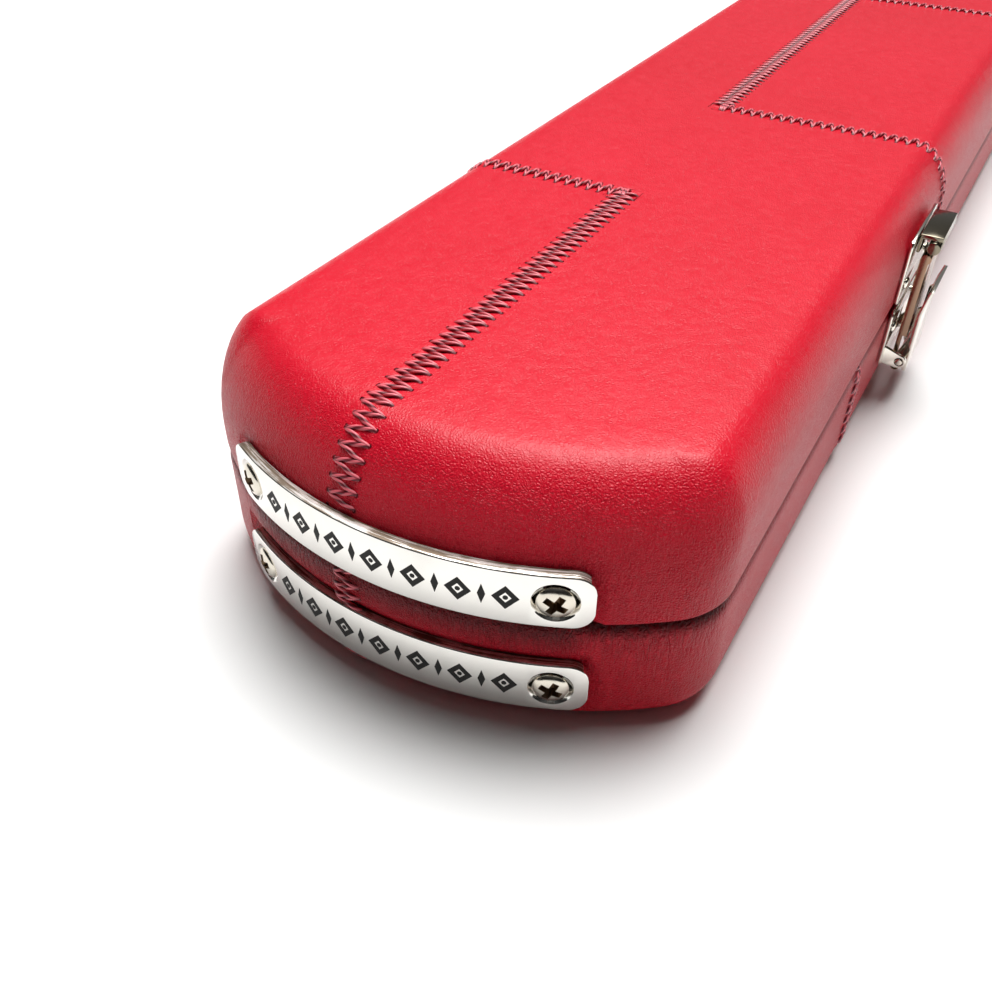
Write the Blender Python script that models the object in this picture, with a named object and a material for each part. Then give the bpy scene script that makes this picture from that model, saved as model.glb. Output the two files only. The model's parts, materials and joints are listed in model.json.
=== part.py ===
"""A long hard case for a jointed billiard cue: two leather-covered shells hinged along the back.

The case lies along X with its bow-ended plates at -X, its latches and handle on the -Y side, its
hinges on the +Y side, and its underside on Z = 0. Sizes are in metres. Each piece is modelled where
it lies, and a piece that moves hangs from an empty on its joint's axis.
"""

import math

import bmesh
import bpy
from mathutils import Matrix, Vector

# The two shells
CASE_LENGTH = 1.240
CASE_WIDTH = 0.115
BASE_HEIGHT = 0.0270
LID_HEIGHT = 0.0289
RIM_GAP = 0.0006  # between the two rims
BOW_RADIUS = 0.0816  # of each bowed end, in plan
CORNER_RADIUS = 0.016
WALL = 0.0065  # core and leather together
SKIN = 0.0050  # the lid's top and the base's floor
RIM_ROUND = 0.0012
SIDE_ROUND = (0.0105, 0.0150)  # the lid's top edge along the sides: inward and downward
END_ROUND = (0.0165, 0.0270)  # and over the ends
FLOOR_ROUND = (0.0060, 0.0060)  # the base's bottom edge, all the way round
CLEARANCE = 0.0003  # between pieces that touch

# The lining
BED_BELOW_RIM = 0.0030
CHANNEL_WIDTH = 0.0360
CHANNEL_DEPTH = 0.0170
LID_CHANNEL_DEPTH = 0.0120
CHANNEL_OFFSET = 0.0230  # from the centreline
CHANNEL_END = 0.0350  # from the case's end
WELL_LENGTH = 0.2000
WELL_WALL = 0.0200
WELL_CORNER = 0.0060

# The end plates and their screws
PLATE_HEIGHT = 0.0122
PLATE_THICKNESS = 0.0023
PLATE_PROUD = 0.0010  # of the rim, where the plate stands furthest out
PLATE_HALF_LENGTH = 0.0415  # measured round the bow
PLATE_CORNER = 0.0040
LID_PLATE_ABOVE_RIM = 0.0003
BASE_PLATE_BELOW_RIM = 0.0092
PLATE_SCREW_OFFSET = 0.0345
PLATE_SCREW_HEAD = 0.0039
PLATE_SCREW_SHANK = 0.0015
PLATE_SCREW_TIP = 0.0005  # from its tip to the wall's inner face

# Small screws and rivets
PIN_HEAD = 0.0016
PIN_SHANK = 0.0008
PIN_LENGTH = 0.0050
PIN_HEAD_HEIGHT = 0.0008

# The hinges
HINGE_COUNT = 3
HINGE_SPACING = 0.4500
HINGE_WIDTH = 0.0380
HINGE_LEAF = 0.0170  # from the axis to the leaf's edge
HINGE_THICKNESS = 0.0012
KNUCKLE_RADIUS = 0.0022
HINGE_PIN_RADIUS = 0.0010
KNUCKLES = 5
HINGE_CORNER = 0.0020
HINGE_SCREW_SPACING = 0.0240
HINGE_SCREW_OUT = 0.0105  # from the axis

# The latches
LATCH_FROM_END = 0.1675
LATCH_PLATE_WIDTH = 0.0295
LATCH_PLATE_THICKNESS = 0.0008
LATCH_PLATE_CORNER = 0.0015
LID_STRIKE_HEIGHT = 0.0180
BASE_STRIKE_HEIGHT = 0.0164
LID_STRIKE_EDGE = 0.0010  # from the lid's rim to its plate
BASE_STRIKE_EDGE = 0.0003
RIVET_INSET = 0.0026  # from a latch plate's side edge
LID_RIVET_UP = 0.0070  # from the lid's rim
BASE_RIVET_DOWN = 0.0052  # from the base's rim
EAR_THICKNESS = 0.0012
EAR_RADIUS = 0.0018
KEEPER_WIDTH = 0.0185
KEEPER_REACH = 0.0057
KEEPER_THICKNESS = 0.0012
KEEPER_FLANGE = 0.0050
KEEPER_BAR = 0.0017
KEEPER_BAR_OUT = 0.0055  # from the wall
KEEPER_BAR_END = 0.0014  # past the bracket's side
LINK_WIDTH = 0.0204
LINK_ARM = 0.0016
LINK_THICKNESS = 0.0022
LINK_ARM_THICKNESS = 0.0011
LINK_BACK = 0.0030  # from the wall to the link
LINK_SHOULDER = 0.0070  # from the lever's pivot up to the link's crosspiece
LINK_ROLL = 0.0014  # radius of its top edge
LEVER_OVERHANG = 0.0012  # of its face, past its flanges
LEVER_THICKNESS = 0.0010
LEVER_LENGTH = 0.0256  # from its pivot to its top edge
LEVER_FOOT = 0.0037  # and down to its lower edge
LEVER_LIP = 0.0013  # how far its top edge curls out
LEVER_CURL = 0.0090  # how far below its top edge the curl starts
LEVER_FLANGE = 0.0012
LEVER_PIVOT = (0.0054, 0.0013)  # out from the wall and up from the base plate's lower edge
LINK_PIVOT_IN = 0.0009  # the link's pivot lies this far inside the lever's
LINK_PIVOT_DOWN = 0.0024  # and this far below it
LATCH_GAP = 0.0006  # between the latch's arms, flanges and ears
LATCH_PIN = 0.0010
LINK_PIN = 0.0007
LINK_KNUCKLE = 0.0012

# The handle
HANDLE_SPAN = 0.1240  # between its two pivots
HANDLE_PIVOT = (0.0065, 0.0130)  # out from the wall and down from the base's rim
HANDLE_REACH = 0.0290
HANDLE_GRIP = 0.0090  # half the grip's height
HANDLE_END = 0.0036
HANDLE_EYE = 0.0025  # half the width of the eye at each end
HANDLE_EYE_RIM = 0.0006  # the eye stands out past the grip's end by this
HANDLE_EYE_GAP = 0.0005  # from an eye to a bracket's ear
HANDLE_PIN = 0.0015
HANDLE_DROOP = math.radians(8)
BRACKET_WIDTH = 0.0180
BRACKET_HEIGHT = 0.0150
BRACKET_THICKNESS = 0.0012
BRACKET_EAR = 0.0014
BRACKET_SCREW = (0.0065, 0.0040)  # towards the case's middle and up from the pivot

SPLIT = BASE_HEIGHT + RIM_GAP
TOP = SPLIT + LID_HEIGHT
HALF_WIDTH = CASE_WIDTH / 2
HINGE_Y = HALF_WIDTH + CLEARANCE + KNUCKLE_RADIUS
HINGE_Z = BASE_HEIGHT + RIM_GAP / 2
BASE_STRIKE_LOW = BASE_HEIGHT - BASE_STRIKE_EDGE - BASE_STRIKE_HEIGHT
KEEPER_TOP = SPLIT + LID_STRIKE_EDGE + LID_STRIKE_HEIGHT + CLEARANCE
PLATE_SCREW_LENGTH = PLATE_PROUD + WALL - PLATE_SCREW_TIP
LEVER_FLANGE_OUT = LINK_WIDTH / 2 - LINK_ARM - LATCH_GAP  # from the latch's middle
THROUGH = 0.01  # how far a cutter runs past what it cuts


def finished(bm):
    bmesh.ops.recalc_face_normals(bm, faces=bm.faces)
    mesh = bpy.data.meshes.new("solid")
    bm.to_mesh(mesh)
    bm.free()
    return mesh


def loft(rings):
    """A closed skin over rings that all have the same number of points."""
    bm = bmesh.new()
    rows = [[bm.verts.new(point) for point in ring] for ring in rings]
    for row, following in zip(rows, rows[1:]):
        for i in range(len(row)):
            j = (i + 1) % len(row)
            bm.faces.new((row[i], row[j], following[j], following[i]))
    bm.faces.new(rows[0])
    bm.faces.new(rows[-1])
    return finished(bm)


def prism(points, axis, low, high):
    """An outline in the two directions across axis, in X, Y, Z order, drawn out from low to high."""
    rings = []
    for place in (low, high):
        ring = []
        for first, second in points:
            corner = [first, second]
            corner.insert("XYZ".index(axis), place)
            ring.append(corner)
        rings.append(ring)
    return loft(rings)


def rectangle(low, high):
    return [(low[0], low[1]), (high[0], low[1]), (high[0], high[1]), (low[0], high[1])]


def arc(centre, radius, start, end, steps):
    angles = [start + (end - start) * i / steps for i in range(steps + 1)]
    return [(centre[0] + radius * math.cos(a), centre[1] + radius * math.sin(a)) for a in angles]


def circle(centre, radius, sides=12):
    return arc(centre, radius, 0, 2 * math.pi, sides)[:-1]


def rounded(low, high, radius, steps=2):
    points = []
    corners = ((high[0], high[1]), (low[0], high[1]), (low[0], low[1]), (high[0], low[1]))
    for turn, (x, y) in enumerate(corners):
        sign_x = 1 if x == high[0] else -1
        sign_y = 1 if y == high[1] else -1
        centre = (x - sign_x * radius, y - sign_y * radius)
        start = turn * math.pi / 2
        points += arc(centre, radius, start, start + math.pi / 2, steps)
    return points


def lathe(profile, sides=12):
    """Radii and heights turned about Z, each end closed with a flat cap."""
    rings = []
    for radius, height in profile:
        rings.append([(x, y, height) for x, y in circle((0, 0), radius, sides)])
    return loft(rings)


def merged(meshes):
    bm = bmesh.new()
    for mesh in meshes:
        bm.from_mesh(mesh)
    mesh = bpy.data.meshes.new("solids")
    bm.to_mesh(mesh)
    bm.free()
    return mesh


def moved(mesh, matrix):
    copy = mesh.copy()
    copy.transform(matrix)
    if matrix.determinant() < 0:
        copy.flip_normals()
    return copy


def combined(operation, mesh, *tools):
    """The mesh after a Boolean with each tool in turn."""
    for tool in tools:
        target = bpy.data.objects.new("target", mesh)
        other = bpy.data.objects.new("tool", tool)
        for obj in (target, other):
            bpy.context.scene.collection.objects.link(obj)
        modifier = target.modifiers.new("Boolean", "BOOLEAN")
        modifier.operation = operation
        modifier.solver = "EXACT"
        modifier.object = other
        bpy.context.view_layer.update()
        graph = bpy.context.evaluated_depsgraph_get()
        mesh = bpy.data.meshes.new_from_object(target.evaluated_get(graph))
        bpy.data.objects.remove(target)
        bpy.data.objects.remove(other)
    return mesh


def joined(mesh, *tools):
    return combined("UNION", mesh, *tools)


def cut(mesh, *tools):
    return combined("DIFFERENCE", mesh, *tools)


def material(name, colour, roughness, metallic=0.0):
    made = bpy.data.materials.new(name)
    made.use_nodes = True
    shader = made.node_tree.nodes["Principled BSDF"]
    shader.inputs["Base Color"].default_value = (*colour, 1.0)
    shader.inputs["Roughness"].default_value = roughness
    shader.inputs["Metallic"].default_value = metallic
    made.diffuse_color = (*colour, 1.0)
    return made


def pivot(name, location):
    empty = bpy.data.objects.new(name, None)
    empty.location = location
    bpy.context.scene.collection.objects.link(empty)
    return empty


def place(name, mesh, finish, parent=None):
    """A named piece. Under a pivot its mesh is moved so that its origin is on the joint's axis."""
    own = moved(mesh, Matrix.Translation(-parent.location)) if parent else mesh
    own.name = name
    own.materials.clear()
    own.materials.append(finish)
    own.shade_smooth()
    own.set_sharp_from_angle(angle=math.radians(32))
    piece = bpy.data.objects.new(name, own)
    piece.parent = parent
    bpy.context.scene.collection.objects.link(piece)
    return piece


def case_outline(corner_steps=4, bow_steps=5):
    """Points round the case in plan, each with its outward direction."""
    bow_x = CASE_LENGTH / 2 - BOW_RADIUS
    corner_y = HALF_WIDTH - CORNER_RADIUS
    corner_x = bow_x + math.sqrt((BOW_RADIUS - CORNER_RADIUS) ** 2 - corner_y**2)
    meet = math.atan2(corner_y, corner_x - bow_x)
    quarter = []
    for i in range(bow_steps + 1):
        quarter.append(((bow_x, 0), BOW_RADIUS, meet * i / bow_steps))
    for i in range(1, corner_steps + 1):
        angle = meet + (math.pi / 2 - meet) * i / corner_steps
        quarter.append(((corner_x, corner_y), CORNER_RADIUS, angle))
    half = []
    for centre, radius, angle in quarter:
        direction = Vector((math.cos(angle), math.sin(angle)))
        half.append((Vector(centre) + radius * direction, direction))
    flip = Vector((1, -1))
    end = [(point * flip, direction * flip) for point, direction in reversed(half[1:])] + half
    return end + [(-point, -direction) for point, direction in end]


def case_ring(inset, height, outline):
    return [(*(point - inset * direction), height) for point, direction in outline]


def edge_sizes(half, direction):
    """How far in and how far down a shell's rounded edge goes: wider over the ends, within its wall."""
    inward, downward = (a + (b - a) * abs(direction.x) for a, b in zip(half["side"], half["end"]))
    return inward, min(downward, abs(half["face"] - half["rim"]) - RIM_ROUND)


def rounded_edge(half, outline, steps=5):
    """Rings that turn a wall over to the shell's flat face."""
    rings = []
    for i in range(steps + 1):
        turn = math.pi / 2 * i / steps
        ring = []
        for point, direction in outline:
            inward, downward = edge_sizes(half, direction)
            at = point - inward * (1 - math.cos(turn)) * direction
            ring.append((*at, half["face"] - half["upward"] * downward * (1 - math.sin(turn))))
        rings.append(ring)
    return rings


def edge_inset(inward, downward, depth):
    """How far in a rounded edge has come at a depth below the flat face."""
    return inward * (1 - math.sqrt(1 - (1 - min(depth, downward) / downward) ** 2))


def cavity_rings(half, gap=0.0, steps=3):
    """Rings down a shell's inside, which leans in behind the rounded edge so that the wall stays thick."""
    start = half["face"] - half["upward"] * (SKIN + gap)
    outline = case_outline()
    rings = []
    for i in range(steps + 1):
        height = start + (half["mouth"] - start) * i / steps
        depth = abs(half["face"] - height)
        ring = []
        for point, direction in outline:
            inward, downward = edge_sizes(half, direction)
            lean = edge_inset(inward, downward, SKIN) * max(0.0, (downward - depth) / (downward - SKIN))
            ring.append((*(point - (WALL + gap + lean) * direction), height))
        rings.append(ring)
    return rings


def shell(half):
    """A tray whose rim is at one height and whose closed face is at the other."""
    outline = case_outline()
    rim, upward = half["rim"], half["upward"]
    rings = cavity_rings(half) + [
        case_ring(WALL, rim, outline),
        case_ring(RIM_ROUND, rim, outline),
        case_ring(RIM_ROUND * 0.3, rim + upward * RIM_ROUND * 0.3, outline),
        case_ring(0, rim + upward * RIM_ROUND, outline),
    ]
    return loft(rings + rounded_edge(half, outline))


def channel(centre_y, start, end, mouth, depth, upward):
    """A long trough with a round bottom, open at its mouth."""
    radius = CHANNEL_WIDTH / 2
    round_depth = min(radius, depth) * 0.8
    bottom = mouth - upward * depth
    points = [(centre_y + radius, mouth + upward * THROUGH)]
    steps = 8
    for i in range(steps + 1):
        turn = math.pi * i / steps
        y = centre_y + radius * math.cos(turn)
        points.append((y, bottom + upward * round_depth * (1 - math.sin(turn))))
    points.append((centre_y - radius, mouth + upward * THROUGH))
    return prism(points, "X", start, end)


def lining(half, depth):
    """A padded block that fills a shell, with a full-length channel and a divided one."""
    mouth, upward = half["mouth"], -half["upward"]
    block = loft(cavity_rings(half, CLEARANCE))
    reach = CASE_LENGTH / 2 - CHANNEL_END
    well = WELL_LENGTH / 2
    near_y, far_y = (-CHANNEL_OFFSET + side * CHANNEL_WIDTH / 2 for side in (-1, 1))
    ends = sorted((mouth - upward * depth, mouth + upward * THROUGH))
    well_box = prism(rounded((-well, near_y), (well, far_y), WELL_CORNER), "Z", *ends)
    return cut(
        block,
        channel(CHANNEL_OFFSET, -reach, reach, mouth, depth, upward),
        channel(-CHANNEL_OFFSET, -reach, -well - WELL_WALL, mouth, depth, upward),
        channel(-CHANNEL_OFFSET, well + WELL_WALL, reach, mouth, depth, upward),
        well_box,
    )


def plate_angle(distance):
    return distance / (BOW_RADIUS + PLATE_PROUD)


def bow_centre(height=0.0):
    return Vector((-CASE_LENGTH / 2 + BOW_RADIUS, 0, height))


def outward_at(angle):
    return Vector((-math.cos(angle), math.sin(angle), 0))


def bent_plate(bottom, top, half_length, back, front):
    """A plate with rounded corners, bent round the near end's bow between two radii."""
    columns = []
    corner_steps, straight_steps = 3, 5
    for i in range(corner_steps + 1):
        turn = math.pi / 2 * i / corner_steps
        inset = PLATE_CORNER * (1 - math.cos(turn))
        columns.append((half_length - inset, PLATE_CORNER * (1 - math.sin(turn))))
    straight = half_length - PLATE_CORNER
    right = columns + [(straight * i / straight_steps, 0) for i in range(straight_steps - 1, -1, -1)]
    rings = []
    for distance, drop in [(-distance, drop) for distance, drop in right] + right[-2::-1]:
        outward = outward_at(plate_angle(distance))
        corners = ((front, bottom + drop), (front, top - drop), (back, top - drop), (back, bottom + drop))
        rings.append([bow_centre(height) + radius * outward for radius, height in corners])
    return loft(rings)


def end_plate(bottom):
    front = BOW_RADIUS + PLATE_PROUD
    plate = bent_plate(bottom, bottom + PLATE_HEIGHT, PLATE_HALF_LENGTH, front - PLATE_THICKNESS, front)
    return cut(plate, *[moved(plate_screw_hole(), frame) for frame in plate_screw_frames(bottom)])


def plate_recess(bottom, below):
    """The pocket that a plate sits in, running on below it by the distance given."""
    back = BOW_RADIUS + PLATE_PROUD - PLATE_THICKNESS - CLEARANCE
    top = bottom + PLATE_HEIGHT + CLEARANCE
    return bent_plate(bottom - below, top, PLATE_HALF_LENGTH + CLEARANCE, back, BOW_RADIUS + THROUGH)


def plate_screw_frames(bottom):
    """Where each screw sits: its Z axis points out of the plate's front."""
    frames = []
    for side in (-1, 1):
        outward = outward_at(plate_angle(side * PLATE_SCREW_OFFSET))
        at = bow_centre(bottom + PLATE_HEIGHT / 2) + (BOW_RADIUS + PLATE_PROUD) * outward
        turn = Vector((0, 0, 1)).rotation_difference(outward).to_matrix().to_4x4()
        frames.append(Matrix.Translation(at) @ turn)
    return frames


def plate_screw_hole():
    head = PLATE_SCREW_HEAD + CLEARANCE
    shank = PLATE_SCREW_SHANK + CLEARANCE
    return lathe([(shank, -0.004), (shank, -0.0019), (head, -0.0006), (head, 0.002)], 16)


def cross_recess(reach, width, top, depth):
    """Two crossed slots that narrow towards their bottom."""
    slots = []
    for turn in (0, math.pi / 2):
        slot = loft([
            [(x * size, y * width / 2, height) for x, y in ((-1, -1), (1, -1), (1, 1), (-1, 1))]
            for size, height in ((reach * 0.35, top - depth), (reach, top + 0.001))
        ])
        slots.append(moved(slot, Matrix.Rotation(turn, 4, "Z")))
    return slots


def plate_screw():
    head, shank = PLATE_SCREW_HEAD, PLATE_SCREW_SHANK
    profile = [(shank * 0.5, -PLATE_SCREW_LENGTH), (shank, -PLATE_SCREW_LENGTH + 0.001)]
    profile += [(shank, -0.0018), (head, -0.0005), (head, 0.0001)]
    profile += [(head * 0.8, 0.0005), (head * 0.45, 0.0008)]
    return cut(lathe(profile, 16), *cross_recess(head * 0.6, 0.0011, 0.0008, 0.0014))


def pin_head_screw():
    """A small round-headed screw whose head rests at Z = 0."""
    profile = [(PIN_SHANK, -PIN_LENGTH), (PIN_SHANK, 0), (PIN_HEAD, 0)]
    profile += [(PIN_HEAD * 0.92, PIN_HEAD_HEIGHT * 0.55), (PIN_HEAD * 0.55, PIN_HEAD_HEIGHT)]
    return lathe(profile, 10)


def wall_frame(x, distance, z, side):
    """Z points out of the front wall (side -1) or the back wall (side 1), distance from it."""
    turn = Matrix.Rotation(-side * math.pi / 2, 4, "X")
    return Matrix.Translation((x, side * (HALF_WIDTH + distance), z)) @ turn


def drilled(sides_and_places):
    """Holes for small screws, through a plate and into a wall."""
    radius = PIN_SHANK + CLEARANCE
    hole = lathe([(radius, -PIN_LENGTH - CLEARANCE), (radius, 0.002)], 10)
    return [moved(hole, wall_frame(*entry)) for entry in sides_and_places]


def hinge_places():
    return [HINGE_SPACING * (i - (HINGE_COUNT - 1) / 2) for i in range(HINGE_COUNT)]


def hinge_screw_places(x, upward):
    z = HINGE_Z + upward * HINGE_SCREW_OUT
    surface = CLEARANCE + HINGE_THICKNESS
    return [(x + side * HINGE_SCREW_SPACING / 2, surface + CLEARANCE, z, 1) for side in (-1, 1)]


def hinge_leaf(x, upward):
    """A leaf with its share of the knuckles: the base's are the odd ones, the lid's the even ones."""
    inner = HALF_WIDTH + CLEARANCE
    low = HINGE_Z + upward * (KNUCKLE_RADIUS + CLEARANCE)
    high = HINGE_Z + upward * HINGE_LEAF
    half = HINGE_WIDTH / 2
    outline = rounded((x - half, min(low, high)), (x + half, max(low, high)), HINGE_CORNER)
    leaf = prism(outline, "Y", inner, inner + HINGE_THICKNESS)
    pitch = HINGE_WIDTH / KNUCKLES
    web_low, web_high = sorted((HINGE_Z, low + upward * HINGE_CORNER / 2))
    for i in range(KNUCKLES):
        if (i % 2 == 0) == (upward > 0):
            continue
        start = x - half + i * pitch + CLEARANCE / 2
        end = start + pitch - CLEARANCE
        web = prism(rectangle((inner, web_low), (inner + HINGE_THICKNESS, web_high)), "X", start, end)
        roll = prism(circle((HINGE_Y, HINGE_Z), KNUCKLE_RADIUS), "X", start, end)
        leaf = joined(leaf, joined(web, roll))
    reach = half + THROUGH
    bore = prism(circle((HINGE_Y, HINGE_Z), HINGE_PIN_RADIUS + CLEARANCE), "X", x - reach, x + reach)
    return cut(leaf, bore, *drilled(hinge_screw_places(x, upward)))


def from_wall(distance):
    return -HALF_WIDTH - distance


def latch_places():
    reach = CASE_LENGTH / 2 - LATCH_FROM_END
    return {"near": -reach, "far": reach}


def latch_rivet_places(x, upward):
    across = LATCH_PLATE_WIDTH / 2 - RIVET_INSET
    z = SPLIT + LID_RIVET_UP if upward > 0 else BASE_HEIGHT - BASE_RIVET_DOWN
    surface = CLEARANCE + LATCH_PLATE_THICKNESS
    return [(x + side * across, surface + CLEARANCE, z, -1) for side in (-1, 1)]


def strike_plate(x, bottom, height):
    half = LATCH_PLATE_WIDTH / 2
    outline = rounded((x - half, bottom), (x + half, bottom + height), LATCH_PLATE_CORNER)
    return prism(outline, "Y", from_wall(CLEARANCE + LATCH_PLATE_THICKNESS), from_wall(CLEARANCE))


def lid_strike(x):
    plate = strike_plate(x, SPLIT + LID_STRIKE_EDGE, LID_STRIKE_HEIGHT)
    return cut(plate, *drilled(latch_rivet_places(x, 1)))


def keeper(x):
    """A bent bracket over a round bar, which the latch's link is drawn against."""
    inner = CLEARANCE * 2 + LATCH_PLATE_THICKNESS
    flange = inner + LATCH_PLATE_THICKNESS
    low, shelf = KEEPER_TOP - KEEPER_FLANGE, KEEPER_TOP - KEEPER_THICKNESS
    outer = inner + KEEPER_REACH
    profile = [(inner, low), (flange, low), (flange, shelf), (outer, shelf)]
    profile += [(outer, KEEPER_TOP), (inner, KEEPER_TOP)]
    half = KEEPER_WIDTH / 2
    bracket = prism([(from_wall(distance), z) for distance, z in profile], "X", x - half, x + half)
    reach = half + KEEPER_BAR_END
    bar = prism(circle((from_wall(KEEPER_BAR_OUT), keeper_bar_z()), KEEPER_BAR), "X", x - reach, x + reach)
    return joined(bracket, bar)


def keeper_bar_z():
    """The bar is let into the bracket's underside by a tenth of its radius."""
    return KEEPER_TOP - KEEPER_THICKNESS - KEEPER_BAR * 0.9


def lever_pivot():
    return from_wall(LEVER_PIVOT[0]), BASE_STRIKE_LOW + LEVER_PIVOT[1]


def link_pivot():
    y, z = lever_pivot()
    return y + LINK_PIVOT_IN, z - LINK_PIVOT_DOWN


def bore_across(x, centre, radius):
    """A cutter for a pin that runs along X through a latch or a bracket."""
    reach = LATCH_PLATE_WIDTH / 2 + THROUGH
    return prism(circle(centre, radius + CLEARANCE), "X", x - reach, x + reach)


def base_strike(x):
    """The base's plate with two ears that carry the lever's pin."""
    plate = strike_plate(x, BASE_STRIKE_LOW, BASE_STRIKE_HEIGHT)
    root = from_wall(CLEARANCE + LATCH_PLATE_THICKNESS * 0.5)
    y, z = lever_pivot()
    nose = arc((y, z), EAR_RADIUS, -math.pi / 2, -3 * math.pi / 2, 6)
    outline = [(root, z - EAR_RADIUS * 0.9)] + nose + [(root, z + EAR_RADIUS * 1.9)]
    inner = LINK_WIDTH / 2 + LATCH_GAP
    for side in (-1, 1):
        ends = sorted((x + side * inner, x + side * (inner + EAR_THICKNESS)))
        plate = joined(plate, prism(outline, "X", *ends))
    return cut(plate, bore_across(x, (y, z), LATCH_PIN), *drilled(latch_rivet_places(x, -1)))


def lever_pin(x):
    half = LINK_WIDTH / 2 + LATCH_GAP + EAR_THICKNESS + CLEARANCE
    return prism(circle(lever_pivot(), LATCH_PIN), "X", x - half, x + half)


def link_pin(x):
    half = LINK_WIDTH / 2
    return prism(circle(link_pivot(), LINK_PIN), "X", x - half, x + half)


def lever_face():
    """The lever's front from the side: how far out from its pivot, and how far up."""
    back = LATCH_PIN
    front = back + LEVER_THICKNESS
    curl = LEVER_LENGTH - LEVER_CURL
    bend = (LEVER_LIP * 0.35, LEVER_LENGTH - LEVER_CURL * 0.45)
    lip = [(front + LEVER_LIP, LEVER_LENGTH), (back + LEVER_LIP, LEVER_LENGTH)]
    outside = [(front, -LEVER_FOOT), (front, curl), (front + bend[0], bend[1])]
    return outside + lip + [(back + bend[0], bend[1]), (back, curl), (back, -LEVER_FOOT)]


def lever_flange():
    """A flange from the side: it is narrow above its pivot and wraps round both pins at its foot."""
    back = LATCH_PIN
    root = back + LEVER_THICKNESS * 0.4
    tip = LEVER_LENGTH - LEVER_CURL + 0.0024
    edge = [(root, tip), (back - 0.0006, tip - 0.0010), (back - 0.0009, 0.0060)]
    bulge = [(-0.0012, 0.0018), (-0.0019, 0.0), (-0.0022, -LINK_PIVOT_DOWN)]
    foot = [(-0.0019, -LEVER_FOOT + 0.0005), (-0.0008, -LEVER_FOOT), (root, -LEVER_FOOT)]
    return edge + bulge + foot


def lever(x):
    """A front face with a lip curled out at its top, and two flanges that hold both pins."""
    y, z = lever_pivot()
    half = LEVER_FLANGE_OUT + LEVER_OVERHANG
    body = prism([(y - out, z + up) for out, up in lever_face()], "X", x - half, x + half)
    flange = [(y - out, z + up) for out, up in lever_flange()]
    for side in (-1, 1):
        ends = sorted((x + side * (LEVER_FLANGE_OUT - LEVER_FLANGE), x + side * LEVER_FLANGE_OUT))
        body = joined(body, prism(flange, "X", *ends))
    return cut(body, bore_across(x, (y, z), LATCH_PIN), bore_across(x, link_pivot(), LINK_PIN))


def link(x):
    """A stirrup: two arms from the lever's lower pin, joined by a plate with a rolled top."""
    y, z = link_pivot()
    half = LINK_WIDTH / 2
    inside = half - LINK_ARM
    top = keeper_bar_z() - KEEPER_BAR - CLEARANCE - LINK_ROLL
    shoulder = lever_pivot()[1] + LINK_SHOULDER
    back = from_wall(LINK_BACK)
    crosspiece = rectangle((x - half, shoulder), (x + half, top))
    body = prism(crosspiece, "Y", back - LINK_THICKNESS, back)
    for side in (-1, 1):
        ends = sorted((x + side * inside, x + side * half))
        arm = rectangle((back - LINK_ARM_THICKNESS, z), (back, shoulder + LINK_ARM))
        knuckle = prism(circle((y, z), LINK_KNUCKLE), "X", *ends)
        body = joined(body, joined(prism(arm, "X", *ends), knuckle))
    roll = prism(circle((back - LINK_ROLL, top), LINK_ROLL), "X", x - half, x + half)
    return cut(joined(body, roll), bore_across(x, (y, z), LINK_PIN))


def handle_path():
    """The grip's centreline in the handle's own plane: along X and out from the pivots."""
    half = HANDLE_SPAN / 2
    bend = HANDLE_REACH * 0.62  # the radius at each corner
    points = [(-half, 0.0), (-half, HANDLE_REACH - bend)]
    points += arc((-half + bend, HANDLE_REACH - bend), bend, math.pi, math.pi / 2, 5)[1:]
    points += [(-half * 0.3, HANDLE_REACH), (0, HANDLE_REACH)]
    return points + [(-x, out) for x, out in points[-2::-1]]


def handle():
    """A swelling grip, with an eye at each end, drooping a little from its pivots."""
    path = handle_path()
    rings = []
    for i, (x, out) in enumerate(path):
        before, after = path[max(i - 1, 0)], path[min(i + 1, len(path) - 1)]
        along = Vector((after[0] - before[0], after[1] - before[1])).normalized()
        share = min(1.0, out / HANDLE_REACH)
        radius = HANDLE_END + (HANDLE_GRIP - HANDLE_END) * share**2
        wide = HANDLE_EYE + (HANDLE_GRIP * 0.8 - HANDLE_EYE) * share**2
        ring = []
        sides = 10
        for turn in range(sides):
            angle = 2 * math.pi * turn / sides
            across = wide * math.cos(angle)
            ring.append((x - along.y * across, -(out + along.x * across), radius * math.sin(angle)))
        rings.append(ring)
    grip = loft(rings)
    for side in (-1, 1):
        middle = side * HANDLE_SPAN / 2
        eye = circle((0, 0), HANDLE_END + HANDLE_EYE_RIM)
        grip = joined(grip, prism(eye, "X", middle - HANDLE_EYE, middle + HANDLE_EYE))
    reach = HANDLE_SPAN / 2 + THROUGH
    grip = cut(grip, prism(circle((0, 0), HANDLE_PIN + CLEARANCE), "X", -reach, reach))
    return moved(grip, handle_place() @ Matrix.Rotation(HANDLE_DROOP, 4, "X"))


def handle_axis_z():
    return BASE_HEIGHT - HANDLE_PIVOT[1]


def handle_place():
    return Matrix.Translation((0, from_wall(HANDLE_PIVOT[0]), handle_axis_z()))


def bracket_ear_ends():
    """How far an ear's two faces are from the handle's eye's middle."""
    inner = HANDLE_EYE + HANDLE_EYE_GAP
    return inner, inner + BRACKET_EAR


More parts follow.
